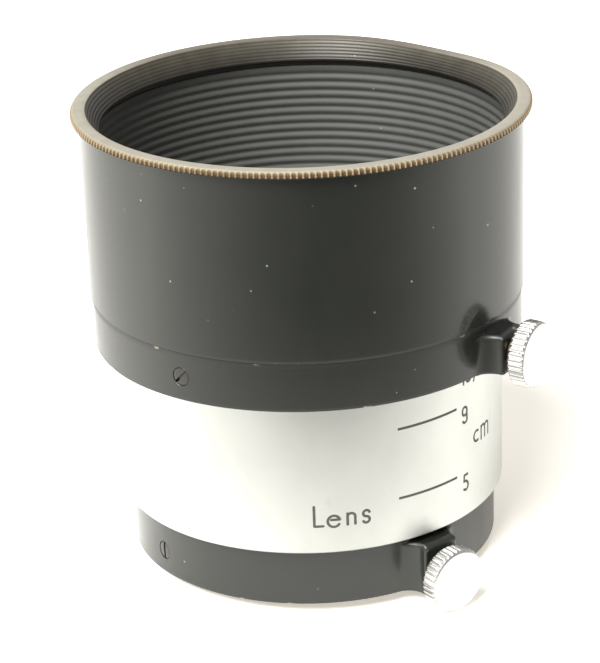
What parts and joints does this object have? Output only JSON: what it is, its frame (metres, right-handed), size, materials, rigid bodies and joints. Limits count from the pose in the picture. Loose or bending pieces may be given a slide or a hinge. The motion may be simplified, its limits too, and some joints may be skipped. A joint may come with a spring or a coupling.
{
  "type": "lens hood",
  "caption": "Telescoping lens hood: clamps on a lens rim, slides out along an engraved chrome tube and locks with knurled thumbscrews.",
  "frame": {"origin": "centre of the clamp bore on the base collar's rear face", "axes": "+Z runs along the optical axis from the lens towards the mouth; -Y faces the side between the scale and the band screws; the thumbscrews stand out 36.5 and 56.5 degrees from -Y towards +X"},
  "size_m": [0.0507, 0.0496, 0.0518],
  "materials": {
    "black_lacquer": "semi-gloss black lacquer over brass, worn",
    "matte_black": "matte black inside the light path",
    "satin_chrome": "satin chrome with fine scratches and pits",
    "bright_nickel": "bright nickel plate",
    "worn_brass": "knurled brass, lacquer worn off the crests",
    "spring_bronze": "rolled spring bronze",
    "engraving_paint": "black paint in the engraving"
  },
  "bodies": {
    "base": {"base_collar": "black_lacquer", "base_band_screw": "black_lacquer", "inner_tube": "satin_chrome", "scale_infill": "engraving_paint"},
    "guide": {"guide_ring": "spring_bronze"},
    "hood": {"hood_collar": "black_lacquer", "hood_barrel": "black_lacquer", "front_rim": "worn_brass", "hood_band_screw": "black_lacquer"},
    "base_band": {"base_clamp_band": "spring_bronze"},
    "base_screw": {"base_thumbscrew": "bright_nickel"},
    "hood_band": {"hood_clamp_band": "spring_bronze"},
    "hood_screw": {"hood_thumbscrew": "bright_nickel"}
  },
  "joints": [
    {"name": "hood_turn", "type": "hinge", "parent": "base", "child": "guide", "pos_m": [0, 0, 0.02985], "axis": [0, 0, 1], "continuous": true},
    {"name": "hood_slide", "type": "slide", "parent": "guide", "child": "hood", "axis": [0, 0, 1], "range_m": [-0.0172, 0.0001]},
    {"name": "base_band_press", "type": "slide", "parent": "base", "child": "base_band", "axis": [-0.5948, 0.8039, 0], "range_m": [0, 0.0005]},
    {"name": "base_thumbscrew_turn", "type": "hinge", "parent": "base_band", "child": "base_screw", "pos_m": [0.01428, -0.01929, 0.00215], "axis": [-0.5948, 0.8039, 0], "range_deg": [0, 360]},
    {"name": "hood_band_press", "type": "slide", "parent": "hood", "child": "hood_band", "axis": [-0.8339, 0.5519, 0], "range_m": [0, 0.000375]},
    {"name": "hood_thumbscrew_turn", "type": "hinge", "parent": "hood_band", "child": "hood_screw", "pos_m": [0.02251, -0.0149, 0.0262], "axis": [-0.8339, 0.5519, 0], "range_deg": [0, 270]}
  ],
  "couplings": [
    {"joint": "base_thumbscrew_turn", "follows": "base_band_press", "rad_per_m": 12560},
    {"joint": "hood_thumbscrew_turn", "follows": "hood_band_press", "rad_per_m": 12560}
  ]
}
